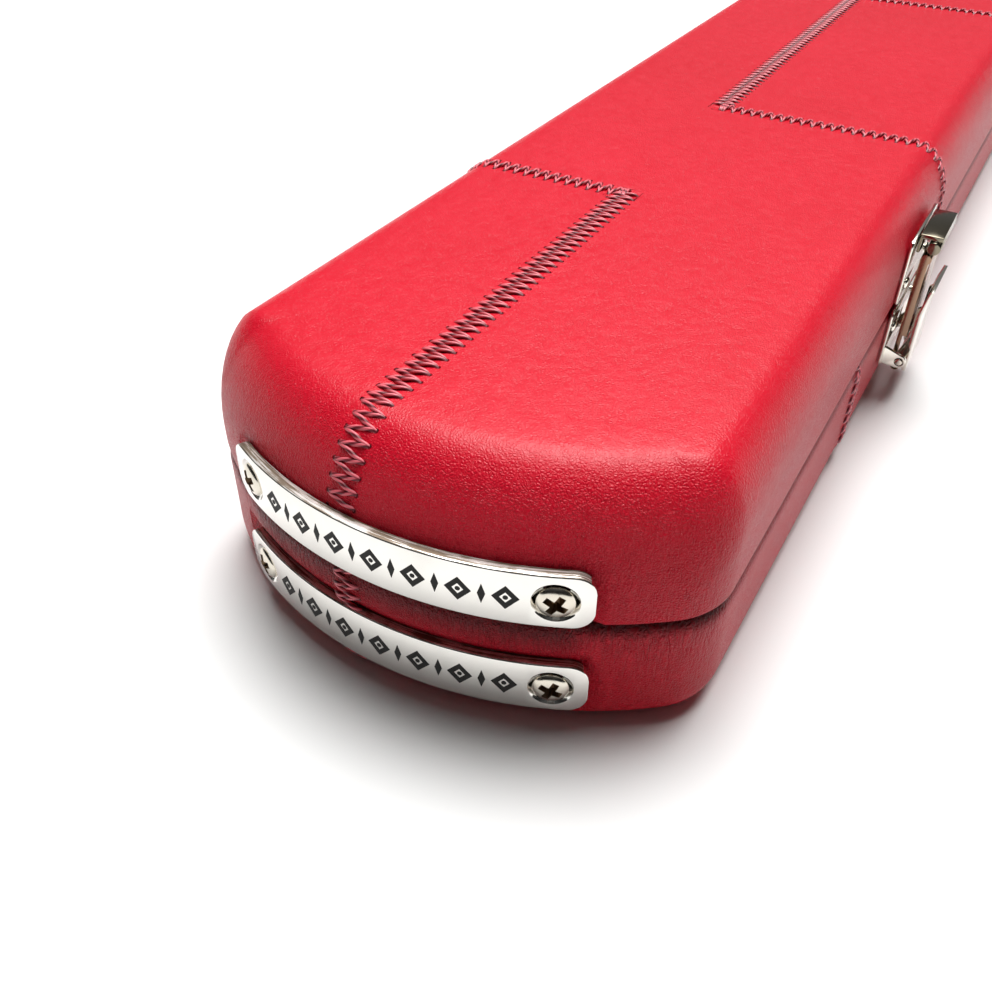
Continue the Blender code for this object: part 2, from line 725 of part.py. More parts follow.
def handle_bracket(x):
    """A wall plate with an ear on each side of the handle's eye."""
    half_w, half_h = BRACKET_WIDTH / 2, BRACKET_HEIGHT / 2
    z = handle_axis_z()
    outline = rounded((x - half_w, z - half_h), (x + half_w, z + half_h), HINGE_CORNER)
    plate = prism(outline, "Y", from_wall(CLEARANCE + BRACKET_THICKNESS), from_wall(CLEARANCE))
    centre = (from_wall(HANDLE_PIVOT[0]), z)
    root, spread = from_wall(CLEARANCE + BRACKET_THICKNESS / 2), BRACKET_HEIGHT * 0.3
    nose = arc(centre, HANDLE_PIN + 0.0017, -math.pi / 2, -3 * math.pi / 2, 8)
    ear = [(root, z - spread)] + nose + [(root, z + spread)]
    for side in (-1, 1):
        ends = sorted(x + side * reach for reach in bracket_ear_ends())
        plate = joined(plate, prism(ear, "X", *ends))
    return cut(plate, bore_across(x, centre, HANDLE_PIN), *drilled(bracket_screw_places(x)))


def bracket_screw_places(x):
    inward = -1 if x > 0 else 1
    across, up = BRACKET_SCREW
    return [(x + inward * across, CLEARANCE * 2 + BRACKET_THICKNESS, handle_axis_z() + up, -1)]


def handle_pin(x):
    half = bracket_ear_ends()[1] + CLEARANCE
    return prism(circle((from_wall(HANDLE_PIVOT[0]), handle_axis_z()), HANDLE_PIN), "X", x - half, x + half)


def screw_holes(frames):
    shank = PLATE_SCREW_SHANK + CLEARANCE
    hole = lathe([(shank, -PLATE_SCREW_LENGTH - CLEARANCE), (shank, 0.001)], 16)
    return [moved(hole, frame) for frame in frames]


def build_case():
    leather = material("red_leather", (0.53, 0.010, 0.030), 0.45)
    velvet = material("black_velvet", (0.012, 0.012, 0.014), 0.95)
    nickel = material("polished_nickel", (0.80, 0.78, 0.74), 0.12, 1.0)
    steel = material("screw_steel", (0.62, 0.58, 0.50), 0.25, 1.0)
    hide = material("handle_leather", (0.42, 0.008, 0.022), 0.50)
    hinge_axis = pivot("lid_hinge_axis", (0, HINGE_Y, HINGE_Z))
    lid_plate = SPLIT + LID_PLATE_ABOVE_RIM
    base_plate = BASE_HEIGHT - BASE_PLATE_BELOW_RIM - PLATE_HEIGHT
    brackets = {"near": -HANDLE_SPAN / 2, "far": HANDLE_SPAN / 2}
    base_small, lid_small = {}, {}
    for i, x in enumerate(hinge_places(), 1):
        for side, entry in zip("ab", hinge_screw_places(x, -1)):
            base_small[f"hinge_{i}_base_screw_{side}"] = entry
        for side, entry in zip("ab", hinge_screw_places(x, 1)):
            lid_small[f"hinge_{i}_lid_screw_{side}"] = entry
    for end, x in latch_places().items():
        for side, entry in zip("ab", latch_rivet_places(x, -1)):
            base_small[f"{end}_latch_base_rivet_{side}"] = entry
        for side, entry in zip("ab", latch_rivet_places(x, 1)):
            lid_small[f"{end}_latch_lid_rivet_{side}"] = entry
    for end, x in brackets.items():
        base_small[f"{end}_handle_screw"] = bracket_screw_places(x)[0]

    bed_top = BASE_HEIGHT - BED_BELOW_RIM
    base_half = {"rim": BASE_HEIGHT, "face": 0, "mouth": bed_top, "upward": -1}
    base_half |= {"side": FLOOR_ROUND, "end": FLOOR_ROUND}
    lid_half = {"rim": SPLIT, "face": TOP, "mouth": SPLIT + BED_BELOW_RIM, "upward": 1}
    lid_half |= {"side": SIDE_ROUND, "end": END_ROUND}
    base = shell(base_half)
    base_holes = screw_holes(plate_screw_frames(base_plate)) + drilled(base_small.values())
    base_recess = plate_recess(base_plate, CLEARANCE)
    place("base_shell", cut(base, base_recess, merged(base_holes)), leather)
    lid = shell(lid_half)
    lid_holes = screw_holes(plate_screw_frames(lid_plate)) + drilled(lid_small.values())
    lid_recess = plate_recess(lid_plate, PLATE_CORNER + 0.001)
    place("lid_shell", cut(lid, lid_recess, merged(lid_holes)), leather, hinge_axis)

    place("base_lining", lining(base_half, CHANNEL_DEPTH), velvet)
    place("lid_lining", lining(lid_half, LID_CHANNEL_DEPTH), velvet, hinge_axis)

    place("base_end_plate", end_plate(base_plate), nickel)
    place("lid_end_plate", end_plate(lid_plate), nickel, hinge_axis)
    for half, bottom, axis in (("base", base_plate, None), ("lid", lid_plate, hinge_axis)):
        for side, frame in zip(("left", "right"), plate_screw_frames(bottom)):
            turned = frame @ Matrix.Rotation(math.radians(8 if half == "lid" else 2), 4, "Z")
            place(f"{half}_plate_screw_{side}", moved(plate_screw(), turned), steel, axis)

    for i, x in enumerate(hinge_places(), 1):
        place(f"hinge_{i}_base_leaf", hinge_leaf(x, -1), nickel)
        place(f"hinge_{i}_lid_leaf", hinge_leaf(x, 1), nickel, hinge_axis)
        half = HINGE_WIDTH / 2
        pin = prism(circle((HINGE_Y, HINGE_Z), HINGE_PIN_RADIUS), "X", x - half, x + half)
        place(f"hinge_{i}_pin", pin, steel)

    small = pin_head_screw()
    for pieces, axis in ((base_small, None), (lid_small, hinge_axis)):
        for name, entry in pieces.items():
            place(name, moved(small, wall_frame(*entry)), nickel, axis)

    for end, x in latch_places().items():
        lever_axis = pivot(f"{end}_lever_axis", (x, *lever_pivot()))
        link_axis = pivot(f"{end}_link_axis", (x, *link_pivot()))
        place(f"{end}_latch_lid_plate", lid_strike(x), nickel, hinge_axis)
        place(f"{end}_latch_keeper", keeper(x), nickel, hinge_axis)
        place(f"{end}_latch_base_plate", base_strike(x), nickel)
        place(f"{end}_latch_lever_pin", lever_pin(x), steel)
        place(f"{end}_latch_lever", lever(x), nickel, lever_axis)
        place(f"{end}_latch_link_pin", link_pin(x), steel, lever_axis)
        place(f"{end}_latch_link", link(x), nickel, link_axis)

    handle_axis = pivot("handle_axis", handle_place().translation)
    place("handle_grip", handle(), hide, handle_axis)
    for end, x in brackets.items():
        place(f"{end}_handle_bracket", handle_bracket(x), nickel)
        place(f"{end}_handle_pin", handle_pin(x), steel)


for old in list(bpy.data.objects):
    bpy.data.objects.remove(old)
build_case()
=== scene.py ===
import json
import math
import random
from functools import partial

import bmesh
import bpy
import numpy as np
from mathutils import Matrix, Vector


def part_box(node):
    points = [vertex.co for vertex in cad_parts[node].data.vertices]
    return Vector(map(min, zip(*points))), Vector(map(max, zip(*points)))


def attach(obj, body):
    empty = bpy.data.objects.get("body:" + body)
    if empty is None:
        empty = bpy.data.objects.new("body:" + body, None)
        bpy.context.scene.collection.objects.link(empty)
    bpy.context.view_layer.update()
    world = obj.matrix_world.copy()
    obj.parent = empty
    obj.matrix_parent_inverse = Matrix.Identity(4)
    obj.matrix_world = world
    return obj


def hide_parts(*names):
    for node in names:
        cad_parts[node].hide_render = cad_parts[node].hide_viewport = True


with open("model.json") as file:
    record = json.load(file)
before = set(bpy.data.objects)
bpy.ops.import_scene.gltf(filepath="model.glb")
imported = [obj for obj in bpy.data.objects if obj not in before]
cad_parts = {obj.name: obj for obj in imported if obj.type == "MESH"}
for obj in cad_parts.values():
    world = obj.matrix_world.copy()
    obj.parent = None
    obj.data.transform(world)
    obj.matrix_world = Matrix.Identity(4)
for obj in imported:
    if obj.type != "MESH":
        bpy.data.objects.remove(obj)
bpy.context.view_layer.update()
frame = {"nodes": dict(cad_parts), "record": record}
nodes = frame["nodes"]
print("frame loaded:", len(nodes), "nodes")

mm = 0.001
lidLow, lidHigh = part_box("lid_shell")
baseLow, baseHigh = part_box("base_shell")

# the plan outline that both shells share, with what the frame doesn't give
case = {
    "halfLength": lidHigh.x,
    "halfWidth": lidHigh.y,
    "bowRadius": 81.6 * mm,
    "cornerRadius": 16 * mm,
    "wall": 6.5 * mm,
    "skin": 5 * mm,
    "underThread": 0.85 * mm,
    "farInset": 0.8 * mm,
    "innerRound": 1.2 * mm,
}
bowX = case["halfLength"] - case["bowRadius"]
cornerY = case["halfWidth"] - case["cornerRadius"]
cornerX = bowX + math.sqrt((case["bowRadius"] - case["cornerRadius"]) ** 2 - cornerY**2)
meetAngle = math.atan2(cornerY, cornerX - bowX)


# shader helpers
class Sock:
    def __init__(self, finish, out):
        self.finish = finish
        self.out = out

    def calc(self, operation, *others, clamp=False):
        values = [self, *others]
        return self.finish.add("ShaderNodeMath", {"operation": operation, "use_clamp": clamp}, values)

    def __add__(self, other):
        return self.calc("ADD", other)

    def __radd__(self, other):
        return self.calc("ADD", other)

    def __sub__(self, other):
        return self.calc("SUBTRACT", other)

    def __rsub__(self, other):
        return self.finish.add("ShaderNodeMath", {"operation": "SUBTRACT"}, [other, self])

    def __mul__(self, other):
        return self.calc("MULTIPLY", other)

    def __rmul__(self, other):
        return self.calc("MULTIPLY", other)

    def __truediv__(self, other):
        return self.calc("DIVIDE", other)

    def step(self, low, high):
        settings = {"interpolation_type": "SMOOTHSTEP"}
        sockets = {"Value": self, "From Min": low, "From Max": high}
        return self.finish.add("ShaderNodeMapRange", settings, sockets)


class NodeBook:
    def __init__(self, tree):
        self.tree = tree

    def add(self, kind, settings=None, sockets=None, output=0):
        node = self.tree.nodes.new(kind)
        for setting, value in (settings or {}).items():
            setattr(node, setting, value)
        entries = sockets.items() if isinstance(sockets, dict) else enumerate(sockets or [])
        for socket, value in entries:
            if isinstance(value, Sock):
                self.tree.links.new(value.out, node.inputs[socket])
            else:
                node.inputs[socket].default_value = value
        return Sock(self, node.outputs[output])

    def mix(self, factor, first, second):
        return self.add("ShaderNodeMix", {"data_type": "RGBA"}, {0: factor, 6: first, 7: second}, 2)


class Finish(NodeBook):
    def __init__(self, name, colour, roughness, metallic=0.0, **plain):
        self.material = bpy.data.materials.new(name)
        self.material.use_nodes = True
        super().__init__(self.material.node_tree)
        self.shader = self.tree.nodes["Principled BSDF"]
        self.shader.inputs["Roughness"].default_value = roughness
        self.shader.inputs["Metallic"].default_value = metallic
        self.shader.inputs["Base Color"].default_value = (*colour, 1)
        self.material.diffuse_color = (*colour, 1)
        for socket, value in plain.items():
            self.shader.inputs[socket.replace("_", " ")].default_value = value

    def feed(self, socket, value):
        self.tree.links.new(value.out, self.shader.inputs[socket])

    def place(self, scale=(1, 1, 1)):
        spot = self.add("ShaderNodeTexCoord", output="Object")
        return self.add("ShaderNodeMapping", {}, {"Vector": spot, "Scale": scale})

    def noise(self, scale, detail=3, stretch=(1, 1, 1), roughness=0.5):
        sockets = {"Vector": self.place(stretch), "Scale": scale, "Detail": detail, "Roughness": roughness}
        return self.add("ShaderNodeTexNoise", {}, sockets)

    def cells(self, scale, warp):
        spot = self.place()
        sockets = {"Vector": spot, "Scale": scale * 0.6, "Detail": 2}
        wave = self.add("ShaderNodeTexNoise", {}, sockets, "Color")
        spot = self.add("ShaderNodeVectorMath", {"operation": "MULTIPLY_ADD"}, [wave, (warp,) * 3, spot])
        feature = {"feature": "DISTANCE_TO_EDGE"}
        return self.add("ShaderNodeTexVoronoi", feature, {"Vector": spot, "Scale": scale})

    def attribute(self, name):
        return self.add("ShaderNodeAttribute", {"attribute_name": name}, output=2)

    def bump(self, height, strength, distance):
        sockets = {"Height": height, "Strength": strength, "Distance": distance}
        return self.add("ShaderNodeBump", {}, sockets)


leatherLook = {
    "colour": (0.64, 0.0050, 0.026),
    "deep": (0.48, 0.0018, 0.010),
    "dust": (0.80, 0.30, 0.33),
    # painted shade colour for the gap at the rim and the strip behind the end plates
    "rimShade": (0.085, 0.0004, 0.002),
    "relief": 0.16 * mm,
    "pebblesPerMetre": 1650,
    "stitchPeriod": 3.0 * mm,
    "holeReach": (0.22 * mm, 0.62 * mm),
}


def makeLeather(name, colour, deep, seams=True):
    look = Finish(name, colour, 0.42, Specular_IOR_Level=0.24)
    cloud = look.noise(16, 2)
    mottle = look.noise(330, 3)
    pebble = look.cells(leatherLook["pebblesPerMetre"], warp=0.0003).step(0.0, 0.34)
    fine = look.noise(3600, 2)
    speck = look.noise(1500, 1).step(0.755, 0.80)
    turn = look.attribute("turn")
    worm = (look.noise(1150, 3, roughness=0.6) - 0.5).calc("ABSOLUTE").step(0.0, 0.09)
    crease = (look.noise(1.0, 3, (760, 760, 120), 0.6) - 0.5).calc("ABSOLUTE").step(0.0, 0.08)
    pinch = look.attribute("pinch")
    tone = (cloud * 0.5 + mottle * 0.45 + pebble * 0.25 + worm * 0.08).calc("ADD", 0, clamp=True)
    paint = look.mix(tone, (*deep, 1), (*colour, 1))
    paint = look.mix(speck * 0.3, paint, (*leatherLook["dust"], 1))
    # painted shade: the leather goes near black red along the rim gap and behind the plates, where shade
    # falls
    paint = look.mix(look.attribute("rimShade") * 0.95, paint, (*leatherLook["rimShade"], 1))
    height = pebble * (turn * 0.85 + 0.18) + worm * turn * 0.55 + fine * 0.08 + mottle * 1.1
    height = height + crease * pinch * 3.5
    if seams:
        hole = seamHoles(look)
        # painted shade: the needle holes are painted near black, over the dip in the bump
        paint = look.mix(hole * 0.92, paint, (0.030, 0.001, 0.003, 1))
        height = height - hole * 4.0
    look.feed("Base Color", paint)
    look.feed("Roughness", 0.27 + mottle * 0.14 - pebble * 0.04)
    look.feed("Normal", look.bump(height, 1.0, leatherLook["relief"]))
    return look.material


def seamHoles(look):
    # one needle hole each half period, on either side of the seam in turn
    across = look.attribute("seamAcross")
    along = look.attribute("seamAlong") / leatherLook["stitchPeriod"]
    half = across.calc("GREATER_THAN", 0) * 0.5
    beat = ((along + half + 0.5).calc("FRACT") - 0.5).calc("ABSOLUTE") * leatherLook["stitchPeriod"]
    sideways = (across.calc("ABSOLUTE") - look.attribute("seamHalf")).calc("ABSOLUTE")
    reach = (beat * beat + sideways * sideways).calc("SQRT")
    return (1 - reach.step(*leatherLook["holeReach"])) * look.attribute("seamOn").step(0.90, 1.0)


def makeMetal(name, colour, roughness, scratch=(1, 1, 1)):
    look = Finish(name, colour, roughness, 1.0)
    smear = look.noise(60, 3)
    lines = look.noise(1.0, 3, tuple(900 * s for s in scratch))
    stain = look.mix(smear.step(0.45, 0.75) * 0.35, (*colour, 1), tuple(c * 0.72 for c in colour) + (1,))
    look.feed("Base Color", stain)
    look.feed("Roughness", (smear * 0.10 + lines * 0.08 + (roughness - 0.08)).calc("MAXIMUM", 0.03))
    look.feed("Normal", look.bump(lines + smear * 2, 0.25, 0.02 * mm))
    return look.material


def makeThread():
    look = Finish("thread", (0.25, 0.02, 0.035), 0.40, Specular_IOR_Level=0.45)
    fibre = look.noise(5200, 2)
    # painted light on the thread: painted shade in the grooves between the plies and a painted highlight on
    # their crowns
    plyShading = look.attribute("plyShading").step(0.15, 0.85)
    paint = look.mix(plyShading, (0.110, 0.002, 0.008, 1), (0.80, 0.150, 0.185, 1))
    look.feed("Base Color", look.mix(fibre * 0.35, paint, (0.22, 0.010, 0.022, 1)))
    look.feed("Normal", look.bump(fibre, 0.5, 0.05 * mm))
    return look.material


def makeBrushedReflection():
    # a filed edge: streaks that follow the bow, in the bump and also painted light and dark into the colour
    # as a painted reflection
    look = Finish("brushedReflectionNickel", (0.7, 0.68, 0.63), 0.28, 0.55)
    spot = look.add("ShaderNodeTexCoord", output="Object")
    spot = look.add("ShaderNodeMapping", {}, {"Vector": spot, "Location": (bowX, 0, 0), "Scale": (1, 1, 0)})
    radius = look.add("ShaderNodeVectorMath", {"operation": "LENGTH"}, [spot], 1)
    along = look.add("ShaderNodeSeparateXYZ", {}, [spot], 1)
    across = look.add("ShaderNodeCombineXYZ", {}, [radius * 2600, along * 60, 0.0])
    sockets = {"Vector": across, "Scale": 1.0, "Detail": 4, "Roughness": 0.65}
    streak = look.add("ShaderNodeTexNoise", {}, sockets)
    patch = look.noise(160, 3).step(0.35, 0.7)
    reflectionStreak = (streak + patch * 0.10).step(0.46, 0.58)
    # painted reflection: near white and dark brown streaks in the colour
    look.feed("Base Color", look.mix(reflectionStreak, (0.95, 0.93, 0.88, 1), (0.15, 0.11, 0.075, 1)))
    look.feed("Roughness", reflectionStreak * 0.2 + 0.2)
    look.feed("Normal", look.bump(streak, 0.7, 0.06 * mm))
    return look.material


def makeVelvet():
    look = Finish("velvet", (0.014, 0.013, 0.016), 0.9, Sheen_Weight=0.55, Sheen_Roughness=0.4)
    pile = look.noise(1900, 4, roughness=0.7)
    nap = look.noise(38, 3)
    shade = look.mix(nap * 0.6 + pile * 0.4, (0.006, 0.006, 0.008, 1), (0.045, 0.042, 0.050, 1))
    look.feed("Base Color", shade)
    look.feed("Normal", look.bump(pile + nap * 0.5, 0.6, 0.25 * mm))
    return look.material


def makeEnamel():
    look = Finish("enamel", (0.012, 0.012, 0.012), 0.55, Specular_IOR_Level=0.2)
    dust = look.noise(900, 3)
    look.feed("Roughness", dust * 0.3 + 0.4)
    look.feed("Base Color", look.mix(dust, (0.006, 0.006, 0.006, 1), (0.03, 0.028, 0.026, 1)))
    return look.material


redLeather = makeLeather("redLeather", leatherLook["colour"], leatherLook["deep"])
wrapLeather = makeLeather("wrapLeather", (0.50, 0.014, 0.032), (0.22, 0.003, 0.008), seams=False)
polishedNickel = makeMetal("polishedNickel", (0.83, 0.81, 0.77), 0.10, (0.2, 0.2, 1))
latchNickel = makeMetal("latchNickel", (0.84, 0.81, 0.73), 0.13, (1, 1, 0.2))
shadowNickel = makeMetal("shadowNickel", (0.26, 0.23, 0.17), 0.10, (1, 1, 0.2))
linkNickel = makeMetal("linkNickel", (0.34, 0.22, 0.15), 0.18, (1, 1, 0.2))
screwSteel = makeMetal("screwSteel", (0.72, 0.67, 0.58), 0.16)
recessSteel = makeMetal("recessSteel", (0.20, 0.13, 0.075), 0.4)
brushedReflectionNickel = makeBrushedReflection()
thread = makeThread()
velvet = makeVelvet()
enamel = makeEnamel()
print("finishes made")


# mesh helpers
def addPiece(name, verts, faces, material, body, smoothAngle=35, attributes=None):
    mesh = bpy.data.meshes.new(name)
    mesh.from_pydata([tuple(v) for v in verts], [], faces)
    for key, values in (attributes or {}).items():
        layer = mesh.attributes.new(key, "FLOAT", "POINT")
        layer.data.foreach_set("value", np.asarray(values, np.float32))
    return addMesh(name, mesh, material, body, smoothAngle)


def addMesh(name, mesh, material, body, smoothAngle=35):
    mesh.name = name
    if material:
        mesh.materials.clear()
        mesh.materials.append(material)
    mesh.shade_smooth()
    mesh.set_sharp_from_angle(angle=math.radians(smoothAngle))
    piece = bpy.data.objects.new(name, mesh)
    bpy.context.scene.collection.objects.link(piece)
    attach(piece, body)
    return piece


def faceOut(mesh):
    work = bmesh.new()
    work.from_mesh(mesh)
    bmesh.ops.remove_doubles(work, verts=work.verts, dist=1e-6)
    bmesh.ops.recalc_face_normals(work, faces=work.faces)
    work.to_mesh(mesh)
    work.free()
    return mesh


def softened(node, material, body, width=0.25, segments=2, angle=30):
    # a copy of the plain solid with rounded edges
    work = bmesh.new()
    work.from_mesh(nodes[node].data)
    bmesh.ops.remove_doubles(work, verts=work.verts, dist=2e-6)
    flat = math.radians(1)
    bmesh.ops.dissolve_limit(work, angle_limit=flat, verts=work.verts, edges=work.edges)
    sharp = [e for e in work.edges if len(e.link_faces) == 2 and e.calc_face_angle(0) > math.radians(angle)]
    bmesh.ops.bevel(work, geom=sharp, offset=width * mm, offset_type="OFFSET", segments=segments,
                    profile=0.5, affect="EDGES", clamp_overlap=True)
    mesh = bpy.data.meshes.new(node)
    work.to_mesh(mesh)
    work.free()
    piece = addMesh(node + "_finished", mesh, material, body, 42)
    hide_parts(node)
    return piece


def tube(verts, faces, points, radii, sides, lobes, twist, ups, plies):
    # a capped tube whose two lobes read as plies laid together
    first = len(verts)
    count = len(points)
    for i, point in enumerate(points):
        ahead = points[min(i + 1, count - 1)] - points[max(i - 1, 0)]
        along = ahead.normalized()
        side = along.cross(ups[i]).normalized()
        up = side.cross(along)
        for k in range(sides):
            turn = 2 * math.pi * k / sides
            radius = radii[i] * (1 + lobes * math.cos(2 * (turn - twist * i)))
            verts.append(point + radius * (math.cos(turn) * side + math.sin(turn) * up))
            # 1 on the lobes' crowns and 0 in the grooves, where the thread's painted highlight and painted
            # shade go
            plies.append(0.5 + 0.5 * math.cos(2 * (turn - twist * i)))
    for i in range(count - 1):
        for k in range(sides):
            a = first + i * sides + k
            b = first + i * sides + (k + 1) % sides
            faces.append((a, b, b + sides, a + sides))
    faces.append(tuple(first + k for k in reversed(range(sides))))
    faces.append(tuple(first + (count - 1) * sides + k for k in range(sides)))


# the two leather shells
stitch = {
    "period": leatherLook["stitchPeriod"],
    "half": 3.15 * mm,
    "crossHalf": 2.8 * mm,
    "thread": 0.45 * mm,
    "rise": 0.05 * mm,
    "steps": 9,
}
lid = {
    "rim": lidLow.z,
    "face": lidHigh.z - case["underThread"],
    "ceiling": lidHigh.z - case["skin"],
    "lip": 1.1 * mm,
    # how wide the painted shade along the rim gap is, and how strong it is behind the plates
    "rimShade": 0.5 * mm,
    "plateGapShade": 0.9,
    "sideRound": (10.5 * mm, 15 * mm),
    "endRound": (16.5 * mm, 26.5 * mm),
    "upward": 1,
}
base = {
    "rim": baseHigh.z,
    "face": baseLow.z + case["underThread"],
    "ceiling": baseLow.z + case["skin"],
    "lip": 3.0 * mm,
    # how wide the painted shade along the rim gap is, and how strong it is behind the plates
    "rimShade": 2.0 * mm,
    "plateGapShade": 0.9,
    "sideRound": (6 * mm, 6 * mm),
    "endRound": (6 * mm, 6 * mm),
    "upward": -1,
}
# each seam: where it runs, and the side or end it runs out over
seamPlan = {
    "lidCross": ((-496.4, 1, 8.2), (-422.0, -1, 10.5), (-265.2, -1, 10.5)),
    "lidLong": ((8.2, -496.4, None), (10.5, -422.0, -265.2)),
    "baseCross": ((-498.7, -1, 7.6), (-424.0, 1, -9.0), (-265.2, 1, -9.0)),
    "baseLong": ((7.6, -498.7, None), (-9.0, -424.0, -265.2)),
    "grooveDepth": 0.30 * mm,
    "grooveHalf": 1.1 * mm,
    "reach": 12 * mm,
}


def crossSeams(key):
    # every cross seam and its twin at the far end: (x, side, start y)
    return [(end * x * mm, side, y * mm) for x, side, y in seamPlan[key + "Cross"] for end in (1, -1)]


def longSeams(key):
    return [(y * mm, x0 * mm, x1 if x1 is None else x1 * mm, end)
            for y, x0, x1 in seamPlan[key + "Long"] for end in (1, -1)]


def sectionOf(half, inward, downward, reach, steps=60):
    # arc length, distance out and height from the flat's middle to the rim
    up = half["upward"]
    outs, heights = [0.0], [half["face"]]
    for i in range(steps + 1):
        turn = math.pi / 2 * (1 - i / steps)
        outs.append(reach - inward * (1 - math.cos(turn)))
        heights.append(half["face"] - up * downward * (1 - math.sin(turn)))
    outs.append(reach)
    heights.append(half["rim"] + up * half["lip"])
    for i in range(1, 7):
        turn = math.pi / 2 * i / 6
        outs.append(reach - half["lip"] * (1 - math.cos(turn)))
        heights.append(half["rim"] + up * half["lip"] * (1 - math.sin(turn)))
    lengths = np.concatenate([[0], np.cumsum(np.hypot(np.diff(outs), np.diff(heights)))])
    return lengths, np.array(outs), np.array(heights)


for part in (lid, base):
    part["sideSection"] = sectionOf(part, *part["sideRound"], case["halfWidth"])
    part["endSection"] = sectionOf(part, *part["endRound"], case["bowRadius"])


def onSection(section, length):
    lengths, outs, heights = section

    def spotAt(place):
        out, height = (float(np.interp(place, lengths, values)) for values in (outs, heights))
        return Vector((out, height))

    step = 0.2 * mm
    slope = (spotAt(length + step) - spotAt(length - step)).normalized()
    return spotAt(length), slope


def crossPoint(half, seam, length, across):
    # a place on a cross seam: point, normal, direction of travel
    x, side, _ = seam
    spot, slope = onSection(half["sideSection"], length)
    if length < 0:
        spot, slope = Vector((length, half["face"])), Vector((1, 0))
    normal = Vector((0, -side * slope.y, slope.x)) * half["upward"]
    point = Vector((x + across, side * spot.x, spot.y))
    return point, normal, Vector((0, side * slope.x, slope.y))


def longPoint(half, seam, length, across):
    # length counts from the bow's centre towards the end
    y, _, _, end = seam
    flat = case["bowRadius"] - half["endRound"][0]
    if length < flat:
        return Vector((-end * (bowX + length), y + across, half["face"])), Vector((0, 0, half["upward"])), \
            Vector((-end, 0, 0))
    spot, slope = onSection(half["endSection"], length)
    lateral = y + across
    x = math.sqrt(max(spot.x**2 - lateral**2, 0))
    point = Vector((-end * (bowX + x), lateral, spot.y))
    if end < 0:
        point.x -= case["farInset"]
    outward = Vector((-end * x, lateral, 0)).normalized()
    normal = outward * (-slope.y * half["upward"]) + Vector((0, 0, slope.x * half["upward"]))
    return point, normal, (outward * slope.x + Vector((0, 0, slope.y))).normalized()


def seamSpot(half, key, point, station, length, flatLength):
    # distance across and along the nearest seam for a vertex of the skin
    best = (seamPlan["reach"], 0.0, stitch["half"])
    sideways = abs(station["normal"].y) > 0.99
    for x, side, y in crossSeams(key):
        if not sideways and length > flatLength:
            continue
        if side * point.y < side * y - 3 * mm or (length > flatLength and side * station["normal"].y < 0):
            continue
        if abs(point.x - x) < abs(best[0]):
            best = (point.x - x, length if length > flatLength else side * point.y, stitch["crossHalf"])
    for y, x0, x1, end in longSeams(key):
        outX = -end * point.x
        if length > flatLength and -end * station["normal"].x < 0.5:
            continue
        if outX < -x0 - 3 * mm if x1 is None else not -x1 - 3 * mm < outX < -x0 + 3 * mm:
            continue
        if x1 is not None and length > flatLength:
            continue
        if abs(point.y - y) < abs(best[0]):
            ahead = length if station["normal"].x * -end > 0.5 and length > flatLength else outX - bowX
            best = (point.y - y, ahead, stitch["half"])
    return best


def stationsRound():
    quarter = [(Vector((bowX, 0)), case["bowRadius"], meetAngle * i / 26) for i in range(27)]
    rest = math.pi / 2 - meetAngle
    corner = Vector((cornerX, cornerY))
    quarter += [(corner, case["cornerRadius"], meetAngle + rest * i / 12) for i in range(1, 13)]
    arc = []
    for centre, radius, angle in quarter:
        normal = Vector((math.cos(angle), math.sin(angle)))
        arc.append({"point": centre + radius * normal, "normal": normal, "target": Vector((bowX, 0))})
    flip = Vector((1, -1))
    mirrored = [{key: value * flip for key, value in s.items()} for s in reversed(arc[1:])]
    farEnd = mirrored + arc
    places = [-cornerX]
    middles = sorted({x for key in ("lid", "base") for x, _, _ in crossSeams(key)})
    while places[-1] < cornerX:
        near = min(abs(places[-1] - x) for x in middles)
        places.append(places[-1] + (0.9 * mm if near < 6 * mm else 4 * mm))
    places = [x for x in places[1:] if x < cornerX - 2 * mm]
    ring = list(farEnd)
    for x in reversed(places):
        point = Vector((x, case["halfWidth"]))
        ring.append({"point": point, "normal": Vector((0, 1)), "target": Vector((x, 0))})
    ring += [{key: -value for key, value in s.items()} for s in farEnd]
    for x in places:
        point = Vector((x, -case["halfWidth"]))
        ring.append({"point": point, "normal": Vector((0, -1)), "target": Vector((x, 0))})
    for s in ring:
        if abs(s["target"].x) >= bowX or s["normal"].y not in (1, -1):
            s["target"] = Vector((math.copysign(bowX, s["point"].x), 0))
    return ring


plates = {
    "lid_end_plate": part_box("lid_end_plate"),
    "base_end_plate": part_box("base_end_plate"),
    "front": case["bowRadius"] + 0.92 * mm,
    "thickness": 2.3 * mm,
    "halfLength": 41.5 * mm,
    "corner": 4 * mm,
    "screwOffset": 34.5 * mm,
    "edgeFade": 1.2 * mm,
    "endFade": 5 * mm,
    "clearance": 0.15 * mm,
}


def plateShare(half, point):
    # 1 where the plate covers the near end, falling to 0 just outside it
    low, high = plates["lid_end_plate" if half is lid else "base_end_plate"]
    if point.x > -bowX:
        return 0.0
    angle = math.atan2(point.y, -(point.x + bowX))
    sideways = plates["halfLength"] - abs(angle) * plates["front"]
    upright = min(point.z - low.z, high.z - point.z)
    inside = min(sideways, upright if half is base else high.z - point.z)
    return max(0.0, min(1.0, inside / plates["edgeFade"] + 1.0))


def betweenPlates(point):
    # 1 on the strip of leather behind the two plates' length, falling to 0 past their ends
    if point.x > -bowX:
        return 0.0
    distance = abs(math.atan2(point.y, -(point.x + bowX))) * plates["front"]
    return max(0.0, min(1.0, (plates["halfLength"] - distance) / plates["endFade"]))


